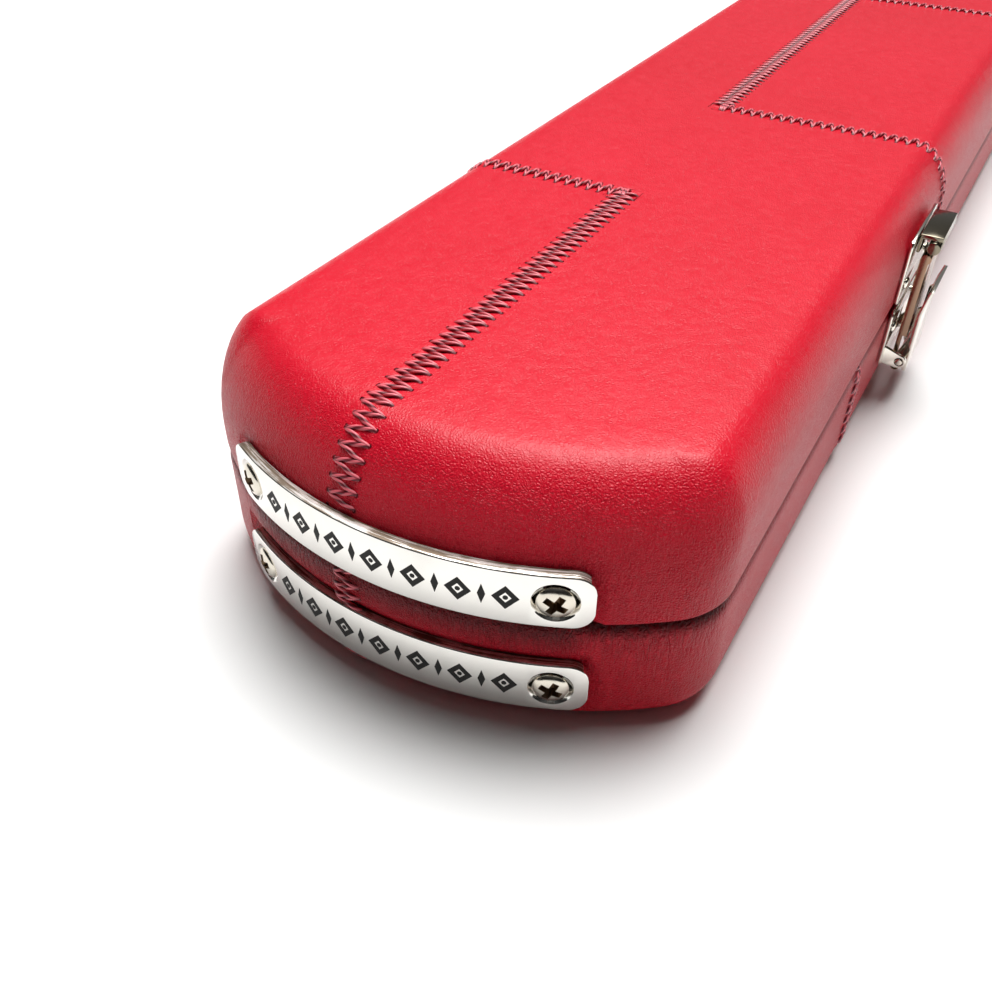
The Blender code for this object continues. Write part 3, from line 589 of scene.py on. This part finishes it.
# distances from the outline's edge to the middle of the flat, in mm, how the creases fade and how the
# painted shade behind the plates fades
skinPlan = {
    "flatRows": (47, 43, 38, 33, 28, 23, 19, 16, 14, 13, 12, 11.2, 10.4, 9.6, 8.8, 8,
                 7.2, 6.4, 5.6, 4.6, 3, 1.5, 0),
    "innerRows": 6,
    "pinchFade": 9 * mm,
    "plateShadeFade": 7 * mm,
}


def makeSkin(name, half, key, node):
    ring = stationsRound()
    up = half["upward"]
    shares = [1 - y / skinPlan["flatRows"][0] for y in skinPlan["flatRows"]]
    inner = case["innerRound"]
    verts = []
    names = ("seamAcross", "seamAlong", "seamHalf", "seamOn", "turn", "pinch", "rimShade")
    layers = {layer: [] for layer in names}
    backOfPlate = plates["front"] - plates["thickness"] - plates["clearance"]
    rows, inside = 0, skinPlan["innerRows"]
    for s in ring:
        blend = abs(s["normal"].x)
        inward, downward = (a + (b - a) * blend for a, b in zip(half["sideRound"], half["endRound"]))
        lean = inward * (1 - math.sqrt(1 - (1 - min(case["skin"], downward) / downward) ** 2))
        column = [(case["wall"] + lean, half["ceiling"]), (case["wall"], half["face"] - up * downward)]
        column.append((case["wall"], half["rim"] + up * inner))
        for i in range(1, 4):
            turn = math.pi / 2 * i / 3
            inset = case["wall"] - inner * (1 - math.cos(turn))
            column.append((inset, half["rim"] + up * inner * (1 - math.sin(turn))))
        for i in range(5):
            turn = math.pi / 2 * (1 - i / 4)
            inset = half["lip"] * (1 - math.cos(turn))
            column.append((inset, half["rim"] + up * half["lip"] * (1 - math.sin(turn))))
        low = half["rim"] + up * half["lip"]
        high = half["face"] - up * downward
        column += [(0, low + (high - low) * i / 5) for i in range(1, 5)]
        for i in range(15):
            turn = math.pi / 2 * i / 14
            inset = inward * (1 - math.cos(turn))
            column.append((inset, half["face"] - up * downward * (1 - math.sin(turn))))
        edge = s["point"] - inward * s["normal"]
        spots = [Vector((*(s["point"] - inset * s["normal"]), z)) for inset, z in column]
        spots += [Vector((*edge.lerp(s["target"], share), half["face"])) for share in shares[1:]]
        lengths = [0.0]
        for a, b in zip(reversed(spots), list(reversed(spots))[1:]):
            lengths.append(lengths[-1] + (a - b).length)
        lengths.reverse()
        flatLength = lengths[len(column) - 1] + 1e-6
        rows = len(spots)
        for i, spot in enumerate(spots):
            seam = (seamPlan["reach"], 0.0, stitch["half"])
            if i > inside + 3:
                seam = seamSpot(half, key, spot, s, lengths[i], flatLength)
            dip = seamPlan["grooveDepth"] * math.exp(-((seam[0] / seamPlan["grooveHalf"]) ** 2))
            before, after = spots[max(i - 1, 0)], spots[min(i + 1, rows - 1)]
            run = (after - before).normalized() if (after - before).length > 0 else Vector((0, 0, 1))
            sideway = Vector((-s["normal"].y, s["normal"].x, 0))
            out = run.cross(sideway) * up
            if i >= len(column) - 1:
                out = Vector((0, 0, up))
            moved = spot - dip * out
            if i >= inside:
                moved.x -= case["farInset"] * max(0.0, s["normal"].x) * float(i < len(column))
            share = plateShare(half, moved) if inside <= i < len(column) and moved.x < -bowX else 0.0
            if share > 0:
                flatwise = Vector((moved.x + bowX, moved.y))
                limit = flatwise.length + (backOfPlate - flatwise.length) * share
                if flatwise.length > backOfPlate:
                    flatwise = flatwise.normalized() * limit
                    moved = Vector((flatwise.x - bowX, flatwise.y, moved.z))
            verts.append(moved)
            corner = min(1.0, 3.2 * abs(s["normal"].x * s["normal"].y)) + 0.12
            turned = min(1.0, max(0.0, 1 - abs(out.z))) if i >= inside else 1.0
            pinch = corner * 0.25 * turned
            if half is base:
                pinch = corner * math.exp(-abs(moved.z - half["rim"]) / skinPlan["pinchFade"])
            # painted shade: darker along the rim gap where lid meets base, and on the strip behind the end
            # plates, where shade falls between the parts
            rimShade = math.exp(-((moved.z - half["rim"]) / half["rimShade"]) ** 2)
            near = half["plateGapShade"] * betweenPlates(moved)
            behind = math.exp(-((moved.z - half["rim"]) / skinPlan["plateShadeFade"]) ** 2)
            rimShade = max(rimShade, near * behind)
            values = (*seam, float(abs(seam[0]) < seam[2] + 1.5 * mm), turned, pinch, rimShade)
            for layer, value in zip(layers.values(), values):
                layer.append(value)
    faces = []
    count = len(ring)
    for c in range(count):
        n = (c + 1) % count
        for r in range(rows - 1):
            faces.append((c * rows + r, n * rows + r, n * rows + r + 1, c * rows + r + 1))
    faces.append(tuple(c * rows for c in range(count)))
    body = "lid" if half is lid else "base"
    piece = addPiece(name, verts, faces, redLeather, body, 60, layers)
    faceOut(piece.data)
    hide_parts(node)
    return piece


makeSkin("lid_leather", lid, "lid", "lid_shell")
makeSkin("base_leather", base, "base", "base_shell")
print("leather shells made")


# zigzag stitching
def layThread(verts, faces, plies, startSpot, endSpot, wander):
    # one stitch: out of a hole, over the leather and into the next
    (a, normalA), (b, normalB) = startSpot, endSpot
    points, ups = [], []
    for i in range(stitch["steps"]):
        t = i / (stitch["steps"] - 1)
        normal = (normalA * (1 - t) + normalB * t).normalized()
        lift = math.sin(math.pi * t) ** 0.55 * (stitch["rise"] + stitch["thread"]) - 0.55 * stitch["thread"]
        swing = math.sin(math.pi * t) * wander
        travel = (b - a).normalized().cross(normal)
        points.append(a.lerp(b, t) + normal * lift + travel * swing)
        ups.append(normal)
    ends = (0, stitch["steps"] - 1)
    radii = [stitch["thread"] * (0.82 if i in ends else 1.0) for i in range(stitch["steps"])]
    tube(verts, faces, points, radii, 10, 0.20, 0.80, ups, plies)


def zigzag(verts, faces, plies, place, start, end, half, dice):
    count = int((end - start) / stitch["period"])
    first = math.ceil(start / stitch["period"]) * stitch["period"]
    for k in range(count):
        begin = first + k * stitch["period"]
        spots = []
        for offset, side in ((0, -1), (0.5, 1), (1, -1)):
            jitter = dice.uniform(-0.12, 0.12) * mm
            spots.append(place(begin + offset * stitch["period"] + jitter, side * half)[:2])
        for here, there in zip(spots, spots[1:]):
            layThread(verts, faces, plies, here, there, dice.uniform(-0.12, 0.12) * mm)


def knot(verts, faces, plies, place, at, half, dice):
    # a bar tack: several stitches over one another
    for k in range(5):
        spots = [place(at + dice.uniform(-0.9, 0.9) * mm, side * half * 0.9)[:2] for side in (-1, 1)]
        layThread(verts, faces, plies, spots[0], spots[1], dice.uniform(-0.3, 0.3) * mm)


def stitchShell(name, half, key, body):
    dice = random.Random(7)
    verts, faces, plies = [], [], []
    rimLength = half["sideSection"][0][-1] - 1.5 * mm
    plateTop = plates["lid_end_plate" if half is lid else "base_end_plate"][1].z
    for seam in crossSeams(key):
        place = partial(crossPoint, half, seam)
        start = seam[1] * seam[2]
        zigzag(verts, faces, plies, place, start, rimLength, stitch["crossHalf"], dice)
        knot(verts, faces, plies, place, start + 0.8 * mm, stitch["crossHalf"], dice)
    for seam in longSeams(key):
        place = partial(longPoint, half, seam)
        inner, outer, end = seam[2], seam[1], seam[3]
        if inner is None:
            lengths, _, heights = half["endSection"]
            last = float(lengths[-1]) - 1.5 * mm
            if half is lid and end == 1:
                last = min(length for length, z in zip(lengths, heights) if z < plateTop + 1 * mm)
            zigzag(verts, faces, plies, place, -outer - bowX, last, stitch["half"], dice)
        else:
            zigzag(verts, faces, plies, place, -inner - bowX, -outer - bowX, stitch["half"], dice)
    addPiece(name, verts, faces, thread, body, 60, {"plyShading": plies})


stitchShell("lid_stitching", lid, "lid", "lid")
stitchShell("base_stitching", base, "base", "base")
print("stitching laid")


# end plates, their inlay and screws
# profiles are (radius, height), recess corners are (half length, half width, height)
plateScrew = {
    "cup": [(1.8, -4), (1.8, -2), (3.5, -1.1), (4.15, -0.35), (4.45, 0.0), (4.6, 1.5)],
    "head": [(1.2, -6.8), (1.45, -6.2), (1.45, -1.9), (3.25, -0.75), (3.45, -0.45), (3.45, -0.1),
             (3.3, 0.12), (2.9, 0.38), (2.2, 0.62), (1.3, 0.78), (0.5, 0.82)],
    "recessLow": (1.0 * mm, 0.40 * mm, -0.9 * mm),
    "recessTop": (2.75 * mm, 0.80 * mm, 1.2 * mm),
    "lidTurn": 8,
    "baseTurn": 3,
}


def bend(distance, radius, z):
    angle = distance / plates["front"]
    return Vector((-bowX - radius * math.cos(angle), radius * math.sin(angle), z))


def latheMesh(profile, sides=40):
    verts, faces = [], []
    for radius, height in profile:
        for k in range(sides):
            turn = 2 * math.pi * k / sides
            verts.append((radius * mm * math.cos(turn), radius * mm * math.sin(turn), height * mm))
    for i in range(len(profile) - 1):
        for k in range(sides):
            a, b = i * sides + k, i * sides + (k + 1) % sides
            faces.append((a, b, b + sides, a + sides))
    faces.append(tuple(range(sides)))
    faces.append(tuple((len(profile) - 1) * sides + k for k in range(sides)))
    mesh = bpy.data.meshes.new("turned")
    mesh.from_pydata(verts, [], faces)
    return faceOut(mesh)


def cutMesh(mesh, tools):
    for tool in tools:
        target = bpy.data.objects.new("target", mesh)
        other = bpy.data.objects.new("tool", tool)
        for obj in (target, other):
            bpy.context.scene.collection.objects.link(obj)
        modifier = target.modifiers.new("cut", "BOOLEAN")
        modifier.operation = "DIFFERENCE"
        modifier.object = other
        bpy.context.view_layer.update()
        mesh = bpy.data.meshes.new_from_object(target.evaluated_get(bpy.context.evaluated_depsgraph_get()))
        bpy.data.objects.remove(target)
        bpy.data.objects.remove(other)
    return mesh


def crossTools(low, top, turn):
    # two tapered bars at right angles, which cut a cross recess
    tools = []
    for angle in (turn, turn + math.pi / 2):
        bar = bpy.data.meshes.new("bar")
        corners = [(sx * x, sy * y, z) for x, y, z in (low, top)
                   for sx, sy in ((-1, -1), (1, -1), (1, 1), (-1, 1))]
        walls = [(0, 1, 5, 4), (1, 2, 6, 5), (2, 3, 7, 6), (3, 0, 4, 7)]
        bar.from_pydata(corners, [], [(3, 2, 1, 0), (4, 5, 6, 7), *walls])
        bar.transform(Matrix.Rotation(angle, 4, "Z"))
        tools.append(bar)
    return tools


def screwFrame(side, z):
    angle = side * plates["screwOffset"] / plates["front"]
    outward = Vector((-math.cos(angle), math.sin(angle), 0))
    spot = Vector((-bowX, 0, z)) + plates["front"] * outward
    return Matrix.Translation(spot) @ Vector((0, 0, 1)).rotation_difference(outward).to_matrix().to_4x4()


def makePlate(node, body):
    low, high = plates[node]
    middle, halfHeight = (low.z + high.z) / 2, (high.z - low.z) / 2
    turns = [math.pi / 2 * i / 8 for i in range(9)]
    distances = [plates["halfLength"] - plates["corner"] * (1 - math.cos(turn)) for turn in turns]
    heights = [halfHeight - plates["corner"] * (1 - math.sin(turn)) for turn in turns]
    straight = plates["halfLength"] - plates["corner"]
    distances += [straight * i / 24 for i in range(23, -1, -1)]
    heights += [halfHeight] * 24
    right = list(zip(distances, heights))
    columns = [(-d, h) for d, h in right] + right[-2::-1]
    soft = 0.32 * mm
    verts, faces = [], []
    for i, (distance, height) in enumerate(columns):
        ends = i in (0, len(columns) - 1)
        front, back = plates["front"], plates["front"] - plates["thickness"]
        pinch = soft if ends else 0
        profile = []
        for cornerTurn, (radius, z) in enumerate(((front, 1), (back, 1), (back, -1), (front, -1))):
            inR = soft if radius == front else -soft
            for j in range(4):
                turn = math.pi / 2 * (cornerTurn + j / 3)
                centreR, centreZ = radius - inR, z * (height - soft)
                profile.append((centreR + math.cos(turn) * (soft - pinch * 0.6),
                                centreZ + math.sin(turn) * (soft - pinch * 0.6)))
        verts += [bend(distance, r, middle + z) for r, z in profile]
    size = 16
    for i in range(len(columns) - 1):
        for k in range(size):
            a, b = i * size + k, i * size + (k + 1) % size
            faces.append((a, b, b + size, a + size))
    faces.append(tuple(range(size)))
    faces.append(tuple((len(columns) - 1) * size + k for k in range(size)))
    mesh = bpy.data.meshes.new(node)
    mesh.from_pydata([tuple(v) for v in verts], [], faces)
    faceOut(mesh)
    cup = latheMesh(plateScrew["cup"])
    tools = []
    for side in (-1, 1):
        tool = cup.copy()
        tool.transform(screwFrame(side, middle))
        tools.append(tool)
    mesh = cutMesh(mesh, tools)
    piece = addMesh(node + "_polished", mesh, polishedNickel, body, 40)
    # the plate's top and bottom faces take the brushed nickel with its painted reflection streaks
    mesh.materials.append(brushedReflectionNickel)
    for face in mesh.polygons:
        face.material_index = int(abs(face.normal.z) > 0.75)
    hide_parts(node)
    makeInlay(node + "_inlay", body, middle)
    for side, word in ((-1, "left"), (1, "right")):
        makePlateScrew(node.replace("_end_plate", f"_plate_screw_{word}"), body, side, middle)


ornament = {
    "spacing": 8.6 * mm,
    "count": 7,
    "halfHeight": 2.75 * mm,
    "halfWidth": 2.5 * mm,
    "band": 0.45,
    "slimHalf": 0.75 * mm,
    "depth": 0.25 * mm,
    "proud": 0.05 * mm,
}


def makeInlay(name, body, middle):
    # a row of dotted lozenges with slim ones between them, let into the plate's front
    verts, faces, shapes = [], [], []
    tall, wide, hollow, slim = (ornament[key] for key in ("halfHeight", "halfWidth", "band", "slimHalf"))
    for i in range(ornament["count"]):
        centre = (i - (ornament["count"] - 1) / 2) * ornament["spacing"]
        for side in (-1, 1):
            for upper in (-1, 1):
                outer = [(centre + side * wide, 0), (centre, upper * tall)]
                shapes.append([*outer, (centre, upper * tall * hollow), (centre + side * wide * hollow, 0)])
        shapes.append([(centre + 0.5 * mm * math.cos(k * math.pi / 6), 0.5 * mm * math.sin(k * math.pi / 6))
                       for k in range(12)])
        if i == ornament["count"] - 1:
            continue
        centre += ornament["spacing"] / 2
        high = tall * 0.85
        shapes.append([(centre + slim, 0), (centre, high), (centre - slim, 0), (centre, -high)])
    for shape in shapes:
        first, size = len(verts), len(shape)
        for radius in (plates["front"] + ornament["proud"], plates["front"] - ornament["depth"]):
            verts += [bend(distance, radius, middle + z) for distance, z in shape]
        for k in range(size):
            n = (k + 1) % size
            faces.append((first + k, first + n, first + size + n, first + size + k))
        faces.append(tuple(first + k for k in range(size)))
        faces.append(tuple(first + size + k for k in reversed(range(size))))
    piece = addPiece(name, verts, faces, enamel, body, 30)
    faceOut(piece.data)


def makePlateScrew(node, body, side, middle):
    head = latheMesh(plateScrew["head"])
    turn = math.radians(plateScrew["lidTurn" if node.startswith("lid") else "baseTurn"]) * side
    tools = crossTools(plateScrew["recessLow"], plateScrew["recessTop"], turn)
    for mesh in (head, *tools):
        mesh.materials.append(screwSteel)
        mesh.materials.append(recessSteel)
    for tool in tools:
        for face in tool.polygons:
            face.material_index = 1
    mesh = cutMesh(head, tools)
    mesh.transform(screwFrame(side, middle))
    piece = addMesh(node + "_turned", mesh, None, body, 32)
    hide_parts(node)


makePlate("lid_end_plate", "lid")
makePlate("base_end_plate", "base")
print("plates and screws made")


# hinges, latches, small screws
def bodyOf(node):
    return next(body for body, members in frame["record"]["behaviour"]["bodies"].items() if node in members)


def shortenLever(piece, pin):
    # the finger end curls out lower down than the plain solid's
    low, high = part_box(pin)
    middle = (low.z + high.z) / 2
    for vertex in piece.data.vertices:
        vertex.co.z = middle + (vertex.co.z - middle) * (0.80 if vertex.co.z > middle else 1.0)


for node in sorted(nodes):
    if node.startswith("hinge_") and "screw" not in node:
        softened(node, screwSteel if node.endswith("_pin") else latchNickel, bodyOf(node),
                 0.15)
    elif "_latch_" in node and "rivet" not in node:
        steel = node.endswith("_pin")
        finishes = {"keeper": shadowNickel, "link": linkNickel}
        finish = screwSteel if steel else finishes.get(node.split("_")[-1], latchNickel)
        piece = softened(node, finish, bodyOf(node), 0.18)
        if node.endswith("latch_lever"):
            shortenLever(piece, node + "_pin")
    elif "handle_bracket" in node or node.endswith("handle_pin"):
        softened(node, latchNickel, bodyOf(node), 0.2)


smallScrew = {
    "profile": [(0.8, -4.8), (0.8, 0.0), (1.5, 0.0), (1.6, 0.12), (1.52, 0.34), (1.25, 0.58),
                (0.8, 0.74), (0.3, 0.8)],
    "height": 0.8 * mm,
    "recessLow": (0.4 * mm, 0.15 * mm, 0.2 * mm),
    "recessTop": (1.0 * mm, 0.25 * mm, 1.0 * mm),
    "turn": 0.3,
}


def smallHead(node):
    # a domed head with a cross recess, over the plain one
    low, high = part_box(node)
    centre = (low + high) / 2
    outward = 1 if centre.y > 0 else -1
    surface = (high.y if outward > 0 else low.y) - outward * smallScrew["height"]
    head = latheMesh(smallScrew["profile"], 24)
    tools = []
    if "rivet" not in node:
        tools = crossTools(smallScrew["recessLow"], smallScrew["recessTop"], smallScrew["turn"])
    mesh = cutMesh(head, tools)
    tilt = Matrix.Rotation(-outward * math.pi / 2, 4, "X")
    mesh.transform(Matrix.Translation((centre.x, surface, centre.z)) @ tilt)
    piece = addMesh(node + "_turned", mesh, latchNickel, bodyOf(node), 32)
    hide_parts(node)


for node in sorted(nodes):
    if "rivet" in node or ("hinge" in node and "screw" in node) or node.endswith("handle_screw"):
        smallHead(node)
print("metalwork finished")


# lining and handle
for node in ("base_lining", "lid_lining"):
    pad = softened(node, velvet, bodyOf(node), 2.0, 3, 38)

softened("handle_grip", wrapLeather, "handle", 0.5, 2, 50)
print("lining and handle made")


# floor, light and camera
stage = {
    "floor": 30,
    "floorColour": (0.80, 0.80, 0.79),
    "lamp": 12.4,
    "lampToward": (0.379, 0.0945, 0.9205),
    "lampEdge": (0.885, 0.970),
    "ceiling": 0.08,
    "side": 0.14,
    "dark": 0.02,
    "glowToward": (0.80, 0.60, 0),
    "glowEdge": (0.1, 0.8),
    "ceilingEdge": (0.4, 1.0),
}


def makeStage():
    mesh = bpy.data.meshes.new("floor")
    size = stage["floor"]
    corners = [(-size, -size, 0), (size, -size, 0), (size, size, 0), (-size, size, 0)]
    mesh.from_pydata(corners, [], [(0, 1, 2, 3)])
    floor = bpy.data.objects.new("floor", mesh)
    bpy.context.scene.collection.objects.link(floor)
    look = Finish("paleFloor", stage["floorColour"], 0.6)
    mesh.materials.append(look.material)
    floor.location.z = -0.0002


def makeCamera():
    view = {
        "place": (-case["halfLength"] - 103.7 * mm, -84.2 * mm, lidHigh.z + 100 * mm),
        "yaw": math.radians(29.66),
        "pitch": math.radians(39.36),
        "roll": math.radians(-0.467),
        "lens": 36.39,
    }
    level = Vector((math.cos(view["yaw"]), math.sin(view["yaw"]), 0))
    right = Vector((math.sin(view["yaw"]), -math.cos(view["yaw"]), 0))
    forward = level * math.cos(view["pitch"]) - Vector((0, 0, math.sin(view["pitch"])))
    down = forward.cross(right)
    c, s = math.cos(view["roll"]), math.sin(view["roll"])
    across, drop = c * right + s * down, -s * right + c * down
    turn = Matrix((across, -drop, -forward)).transposed()
    data = bpy.data.cameras.new("camera")
    data.lens = view["lens"]
    data.clip_start = 0.01
    camera = bpy.data.objects.new("camera", data)
    camera.matrix_world = Matrix.Translation(view["place"]) @ turn.to_4x4()
    bpy.context.scene.collection.objects.link(camera)
    bpy.context.scene.camera = camera


def makeSky():
    # one wide soft lamp overhead and behind the case, a dim glow on the hinge side, dark elsewhere
    world = bpy.data.worlds.new("studio")
    world.use_nodes = True
    book = NodeBook(world.node_tree)
    spot = book.add("ShaderNodeTexCoord", output="Generated")
    lamp = book.add("ShaderNodeVectorMath", {"operation": "DOT_PRODUCT"}, [spot, stage["lampToward"]], 1)
    glow = book.add("ShaderNodeVectorMath", {"operation": "DOT_PRODUCT"}, [spot, stage["glowToward"]], 1)
    height = book.add("ShaderNodeSeparateXYZ", {}, [spot], 2)
    level = lamp.step(*stage["lampEdge"]) * stage["lamp"]
    level = level + height.step(*stage["ceilingEdge"]) * stage["ceiling"]
    level = level + glow.step(*stage["glowEdge"]) * stage["side"] + stage["dark"]
    book.tree.links.new(level.out, world.node_tree.nodes["Background"].inputs["Strength"])
    world.node_tree.nodes["Background"].inputs["Color"].default_value = (1, 1, 1, 1)
    bpy.context.scene.world = world


makeStage()
makeSky()
bpy.context.scene.view_settings.view_transform = "Standard"
makeCamera()
print("stage set")
